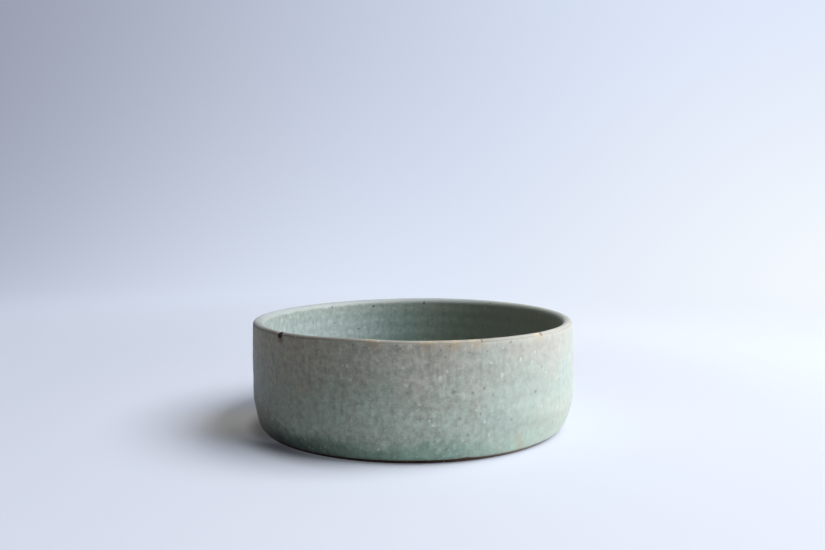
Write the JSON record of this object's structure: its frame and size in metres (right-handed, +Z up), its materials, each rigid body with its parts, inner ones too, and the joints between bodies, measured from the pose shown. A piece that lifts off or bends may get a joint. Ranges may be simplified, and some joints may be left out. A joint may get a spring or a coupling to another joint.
{
  "type": "ikebana suiban",
  "caption": "Low round stoneware basin with a celadon glaze and a bare foot, for flower arranging, with a loose needle holder that grips the stems under shallow water.",
  "frame": {"origin": "centre of the foot, on the surface that the basin stands on", "axes": "+Z up along the basin's axis; +X is to the right and +Y away in the picture's view, free otherwise because the basin is round"},
  "size_m": [0.1999, 0.2, 0.0665],
  "materials": {
    "stoneware": "bare fired clay, matte",
    "glaze": "semi-matte celadon with specks",
    "plate_metal": "dull cast grey metal",
    "needle_brass": "drawn wire",
    "ring_rubber": "matte"
  },
  "bodies": {
    "suiban": {"stoneware_body": "stoneware", "glaze_coat": "glaze"},
    "kenzan": {"kenzan_plate": "plate_metal", "kenzan_needles": "needle_brass", "kenzan_rubber_ring": "ring_rubber"}
  },
  "joints": [
    {"name": "kenzan_lift", "type": "slide", "parent": "suiban", "child": "kenzan", "axis": [0, 0, 1], "range_m": [0, 0.1]}
  ]
}
